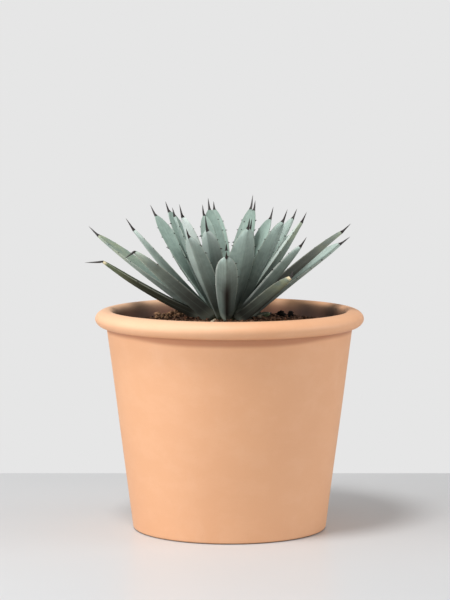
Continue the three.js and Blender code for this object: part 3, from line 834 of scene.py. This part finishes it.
def leafFinish():
    m = leafMake
    f = Finish("leaf_skin", 0.4)
    across, along, number = f.split(f.field("leafPlace"))
    age, yellow, plumAndShade = f.split(f.field("leafTone"))
    # painted shade on the blade, dried tips, and painted shade and bloom point by point
    dark, dried, paintedShadeAndBloom = f.split(f.field("leafWearAndPaintedShade"))
    back, reachAlong, reachAcross = f.split(f.field("leafReach"))
    place = f.place()
    bloom = f.cloud(place, 55, 4, 0.55)
    mottle = f.cloud(place, 190, 3, 0.6)
    spots = f.cloud(place, 420, 2, 0.6)
    lengthwise = f.node("CombineXYZ", None, {"X": reachAcross * 0.9, "Y": reachAlong * 0.05, "Z": number})
    streak = f.cloud(lengthwise, 1.0, 4, 0.6)

    # the skin by age and side, under its bloom
    colour = f.blend(f.step(age, 0.0, 0.5), paint(m["mint"]), paint(m["greyGreen"]))
    colour = f.blend(f.step(age, 0.5, 1.0), colour, paint(m["olive"]))
    colour = f.blend(back * (0.6 - 0.5 * f.step(age, 0.6, 1.0)), colour, paint(m["backGrey"]))
    colour = f.light(colour, 0.72 + 0.22 * f.step(bloom, 0.3, 0.7) + 0.16 * f.step(streak, 0.3, 0.7)
                     + 0.12 * f.step(mottle, 0.35, 0.65))

    # yellow tip, a plum tint and painted shade on the lower half, painted shade on the blade, and the pale
    # sheath at the root
    tipShare = f.step(along, 0.5, 0.97) * yellow * f.step(bloom, 0.3, 0.55)
    colour = f.blend(tipShare * 0.8, colour, paint(m["yellow"]))
    # the lower half darker, by a plum tint and painted shade
    rootShadeShare = f.step(along, 0.85, 0.05) * (0.35 + 0.65 * plumAndShade)
    colour = f.blend(rootShadeShare * (0.75 + 0.35 * streak), colour, paint(m["plumAndShade"]))
    # painted shade over the blade, fading out towards the tip
    colour = f.blend(dark * 0.75 * f.step(along, 1.05, 0.6), colour, paint(m["plumAndShade"]))
    # painted shade point by point, with the darker keel
    colour = f.blend(paintedShadeAndBloom * (0.85 + 0.25 * streak), colour, paint(m["plumAndShade"]))
    # pale bloom with a painted highlight
    colour = f.blend(paintedShadeAndBloom * -1.0, colour, paint(m["bloomAndHighlight"]))
    colour = f.blend(f.step(along, 0.16, 0.03) * (0.3 + 0.3 * streak), colour, paint(m["sheath"]))

    # pale margins, prints that the leaves left on each other in the bud, and the ends
    edge = f.step(abs(across), 0.93, 0.99) * f.step(along, 0.1, 0.5)
    colour = f.blend(edge * 0.4, colour, paint(m["margin"]))
    budPrint = f.step(abs(abs(across) - (0.66 - 0.3 * along)), 0.05, 0.0) * f.step(along, 0.9, 0.7)
    colour = f.blend(budPrint * 0.12, colour, paint(m["mint"]))
    colour = f.blend(f.step(along, 0.955, 0.985) * dried, colour, paint(m["dried"]))
    tip = f.step(along + 0.004 * streak, 0.996, 1.001)
    colour = f.blend(tip, colour, paint(m["horn"]))

    planes = f.bump((1.0 - abs(across)) * f.step(back, 0.5, 1.0), 1.0, m["keelTilt"] * milli)
    relief = streak * 0.5 + spots * 0.04 + budPrint * 0.3
    return f.close(colour, 0.6 - 0.1 * bloom - 0.18 * tip, f.bump(relief, 0.3, 0.0003, Normal=planes))


def hornFinish():
    m = leafMake
    f = Finish("spine_horn", 0.5)
    part = f.split(f.field("leafReach"))[0]      # 2 at a spine's root and 3 at its point
    grain = f.cloud(f.place(), 500, 3, 0.6)
    colour = f.blend(f.step(part, 2.55, 3.0) * 0.4, paint(m["horn"]), paint(m["hornTip"]))
    colour = f.light(colour, 0.8 + 0.4 * grain)
    return f.close(colour, 0.36 + 0.2 * grain, f.bump(grain, 0.15, 0.0002))


def paintedShadeAndBloomAt(leaf, s, t, face):         # above 0 a darker keel and painted shade on a half, below 0 pale bloom with a painted highlight
    bloom = smooth(t, 0.15, 0.65)
    rim = leaf["paleRimAndHighlight"] * smooth(-s, 0.85, 0.95) * smooth(t, 0.1, 0.3)
    # the inner face: painted shade on its -side half, less pale bloom with a painted highlight
    if face != 1:
        return leaf["nearPaintedShade"] * smooth(-s, 0, 0.5) - leaf["bloomAndHighlight"] * bloom * smooth(s, -0.6, 0) - rim
    # the back: a darker keel and painted shade on one half, less pale bloom with a painted highlight
    keel = leaf["keelDark"] * math.exp(-(s / leaf["keelWidth"]) ** 2) * smooth(0.8 - t, 0, 0.35)
    towardsPaintedShade = s if leaf["paintedShadeHalf"] > 0 else -s
    half = abs(leaf["paintedShadeHalf"]) * smooth(towardsPaintedShade, leaf["paintedShadeEdge"] - 0.2, leaf["paintedShadeEdge"] + 0.2)
    return min(1, keel + 0.7 * half * smooth(1 - t, 0, 0.25)) - leaf["backBloomAndHighlight"] * bloom - rim


def makeLeaf(leaf, skin, horn):
    stations = leafStations(leaf)
    points, places, reaches, paintedShadesAndBlooms = [], [], [], []
    for t in stations:
        point, along, side, normal = leafFrame(leaf, t)
        section = sectionPoints(leaf, t)
        count = len(section)
        for x, y, s, face in section:
            points.append(point + side * x + normal * y)
            places.append((s, t, leaf["number"]))
            reaches.append((face, t * leaf["length"], x))
            paintedShadesAndBlooms.append(paintedShadeAndBloomAt(leaf, s, t, face))
    spineRings, tip = spinePoints(leaf)
    for share, ring in spineRings:
        points += ring
        places += [(0, 1 + share, leaf["number"])] * count
        reaches += [(2 + share, leaf["length"], 0)] * count
    rings = len(stations) + len(spineRings)
    faces = bandFaces(rings, count)
    kinds = [0 if i < (len(stations) - 1) * count else 1 for i in range(len(faces))]
    points.append(tip)
    places.append((0, 2, leaf["number"]))
    reaches.append((3, leaf["length"], 0))
    last = (rings - 1) * count
    faces += [(last + j, last + (j + 1) % count, len(points) - 1) for j in range(count)]
    kinds += [1] * count
    faces.append(tuple(reversed(range(count))))
    kinds.append(0)
    name = f"leaf_{leaf['number']:02d}"
    blade = makeObject(name + "_blade", points, faces, [skin, horn], kinds)
    addField(blade, "leafPlace", "FLOAT_VECTOR", places)
    addField(blade, "leafTone", "FLOAT_VECTOR", [(leaf["age"], leaf["yellow"], leaf["plumAndShade"])] * len(points))
    paintedShadesAndBlooms += [0] * (len(points) - len(paintedShadesAndBlooms))
    addField(blade, "leafWearAndPaintedShade", "FLOAT_VECTOR", [(leaf["dark"], leaf["dried"], paintedShadeAndBloom) for paintedShadeAndBloom in paintedShadesAndBlooms])
    addField(blade, "leafReach", "FLOAT_VECTOR", reaches)
    shade(blade)
    slot = frameSlots[name]
    settle(blade, slot, name)
    makeTeeth(leaf, name, horn, slot)


def makeTeeth(leaf, name, horn, slot):
    m = leafMake
    points, faces = [], []
    around = m["toothSides"]
    for side in (-1, 1):
        for i, (share, size) in enumerate(toothPlaces(leaf, side)):
            point, along, across, normal = leafFrame(leaf, share)
            half = halfWidth(leaf, share)
            curl = half * mix(m["baseCup"], m["tipCup"], share)
            hook = mix(*m["toothHook"], draw(leaf["number"] * 5.3 + i * 2.1 + side))
            root = point + across * side * (half + 0.15 + m["toothMound"] * size * 0.7) + normal * curl
            length = m["toothLength"] * size
            start = len(points)
            for level, scale in m["toothRings"]:
                centre = root + across * side * level * length + along * hook * length * max(0, level) ** 1.7
                for x, y in circle(size * scale, around):
                    points.append(centre + along * x * m["toothWidth"] + normal * y * m["toothDepth"])
            rings = bandFaces(len(m["toothRings"]), around)
            faces += [tuple(start + k for k in face) for face in rings]
            points.append(root + across * side * length + along * hook * length)
            last = len(points) - 1 - around
            faces += [(last + j, last + (j + 1) % around, len(points) - 1) for j in range(around)]
            faces.append(tuple(start + j for j in reversed(range(around))))
    teeth = makeObject(name + "_teeth", points, faces, [horn])
    addField(teeth, "leafReach", "FLOAT_VECTOR", [(2.1, 0, 0)] * len(points))
    shade(teeth)
    settle(teeth, slot)


def makeLeaves():
    skin, horn = leafFinish(), hornFinish()
    for leaf in leaves:
        makeLeaf(leaf, skin, horn)
    makeBud(skin, horn)
    print("leaves made:", len(leaves))


# Stem and bud

stemMake = {"profile": ((9, -28), (12, -25), (12, -9), (19, -3), (19, 2), (5, 15)), "sides": 64,
            "bark": "#6D6A4C", "scar": "#4A4434", "fibre": "#9A9069"}
budMake = {"profile": ((4.6, 15.3), (5.4, 25), (4.6, 36), (2.8, 46), (1.4, 53), (0.8, 57), (0.4, 62)),
           "sides": 48, "seam": 0.3, "turns": 1.2, "hornFrom": 0.84, "age": 0.1}
lineSteps = 6


def curveAt(a, b, c, d, t):            # between b and c, on a smooth curve through all four
    square, cube = 2 * a - 5 * b + 4 * c - d, 3 * b - a - 3 * c + d
    return 0.5 * (2 * b + (c - a) * t + square * t * t + cube * t ** 3)


def finerLine(profile):                # a smooth line through the profile's points
    points = []
    for i in range(len(profile) - 1):
        near = [profile[clamp(k, 0, len(profile) - 1)] for k in (i - 1, i, i + 1, i + 2)]
        for k in range(lineSteps):
            points.append(tuple(curveAt(*values, k / lineSteps) for values in zip(*near)))
    points.append(profile[-1])
    return points


def stemFinish():
    m = stemMake
    f = Finish("stem_bark", 0.25)
    place = f.place()
    rings = f.cloud(f.stretch(place, (1, 1, 9)), 90, 3)
    fibre = f.cloud(f.stretch(place, (6, 6, 1)), 160, 3)
    colour = f.blend(f.step(rings, 0.4, 0.6), paint(m["scar"]), paint(m["bark"]))
    colour = f.blend(f.step(fibre, 0.55, 0.7) * 0.5, colour, paint(m["fibre"]))
    return f.close(colour, 0.8 + 0.1 * rings, f.bump(rings + fibre, 0.6, 0.0008))


def makeStem():
    m = stemMake
    profile = [(radius, height + crown.z) for radius, height in finerLine(m["profile"])]
    points, faces = spin(profile, m["sides"], (crown.x, crown.y))
    settle(shade(makeObject("stem_core", points, faces, [stemFinish()]), 40), "stem_bark", "stem")
    print("stem made")


def makeBud(skin, horn):               # young leaves rolled together, with a winding seam and a horn tip
    m = budMake
    sides = m["sides"]
    profile = finerLine(m["profile"])
    low, high = profile[0][1], profile[-1][1]
    shares = [(height - low) / (high - low) for radius, height in profile]
    points, places, reaches = [], [], []
    for (radius, height), t in zip(profile, shares):
        isHorn = t > m["hornFrom"]
        for j in range(sides):
            lap = (j / sides + t * m["turns"]) % 1
            wide = radius - m["seam"] * lap * smooth(1 - t, 0, 0.3)
            angle = 2 * math.pi * j / sides
            points.append(crown + Vector((wide * math.cos(angle), wide * math.sin(angle), height)))
            places.append((0, 1 + t if isHorn else t * 0.9 + 0.1, 0))
            reaches.append((2 + t if isHorn else 0.3, t * 60, lap * 20))
    faces = bandFaces(len(profile), sides)
    hornRing = next(i for i, t in enumerate(shares) if t > m["hornFrom"])
    kinds = [0 if i < hornRing * sides else 1 for i in range(len(faces))]
    faces += capFaces(len(profile), sides)
    kinds += [0, 1]
    bud = makeObject("bud_spear", points, faces, [skin, horn], kinds)
    addField(bud, "leafPlace", "FLOAT_VECTOR", places)
    addField(bud, "leafTone", "FLOAT_VECTOR", [(m["age"], 0, 0)] * len(points))
    addField(bud, "leafWearAndPaintedShade", "FLOAT_VECTOR", [(0, 0, 0)] * len(points))
    addField(bud, "leafReach", "FLOAT_VECTOR", reaches)
    settle(shade(bud, 70), "young_leaf", "bud")


# Camera, table and light

stageMake = {
    "cameraPlace": (-4.3, -2318, 439.2), "cameraPitch": 5.56, "lens": 150, "sensor": 36,
    "tableBack": 300, "tableFront": 3000, "tableHalfWidth": 3000, "tableThickness": 30,
    "tableColour": "#CECFD0", "backdrop": "#E6E6E6", "roomLight": "#B3B3B3", "lampAim": (0, 0, 130),
}
lampMake = (
    {"name": "key", "place": (-1700, -1200, 700), "size": 1800, "power": 26},
    {"name": "side", "place": (-2100, -200, 800), "size": 1500, "power": 8.6},
    {"name": "fill", "place": (2100, -300, 500), "size": 1500, "power": 19.6},
    {"name": "top", "place": (-400, -700, 1900), "size": 500, "power": 22.3},
)


def makeStage():
    makeCamera()
    makeTable()
    makeWorld()
    for lamp in lampMake:
        makeLamp(lamp)
    bpy.context.scene.view_settings.view_transform = "Standard"
    print("stage made")


def makeCamera():
    m = stageMake
    camera = bpy.data.cameras.new("camera")
    camera.lens = m["lens"]
    camera.sensor_width = m["sensor"]
    holder = bpy.data.objects.new("camera", camera)
    holder.location = Vector(m["cameraPlace"]) * milli
    holder.rotation_euler = (math.radians(90 - m["cameraPitch"]), 0, 0)
    bpy.context.scene.collection.objects.link(holder)
    bpy.context.scene.camera = holder


def makeTable():
    m = stageMake
    w, b, f, t = m["tableHalfWidth"], m["tableBack"], -m["tableFront"], -m["tableThickness"]
    points = [Vector(p) for p in ((-w, f, 0), (w, f, 0), (w, b, 0), (-w, b, 0),
                                  (-w, f, t), (w, f, t), (w, b, t), (-w, b, t))]
    faces = [(0, 1, 2, 3), (7, 6, 5, 4), (0, 4, 5, 1), (1, 5, 6, 2), (2, 6, 7, 3), (3, 7, 4, 0)]
    top = Finish("table_top", 0.15)
    dust = top.cloud(top.place(), 6, 3)
    colour = top.light(paint(m["tableColour"]), 0.98 + 0.04 * dust)
    table = makeObject("table", points, faces, [top.close(colour, 0.34 + 0.04 * dust)])


def makeLamp(lamp):
    light = bpy.data.lights.new(lamp["name"], "AREA")
    light.shape = "DISK"
    light.size = lamp["size"] * milli
    light.energy = lamp["power"]
    stand = bpy.data.objects.new(lamp["name"], light)
    stand.location = Vector(lamp["place"]) * milli
    aim = Vector(stageMake["lampAim"]) - Vector(lamp["place"])
    stand.rotation_euler = aim.to_track_quat("-Z", "Y").to_euler()
    bpy.context.scene.collection.objects.link(stand)


def makeWorld():                       # a pale backdrop to the eye, and a dimmer room that lights the object
    world = bpy.data.worlds.new("studio")
    world.use_nodes = True
    shop = Shop(world.node_tree)
    backdrop = shop.node("Background", None, {"Color": paint(stageMake["backdrop"])})
    room = shop.node("Background", None, {"Color": paint(stageMake["roomLight"])})
    toEye = shop.node("LightPath", output="Is Camera Ray")
    choice = shop.node("MixShader", None, {0: toEye, 1: room, 2: backdrop})
    shop.node("OutputWorld", None, {"Surface": choice})
    bpy.context.scene.world = world


makePot()
makeSoil()
makeStem()
makeLeaves()
makeStage()
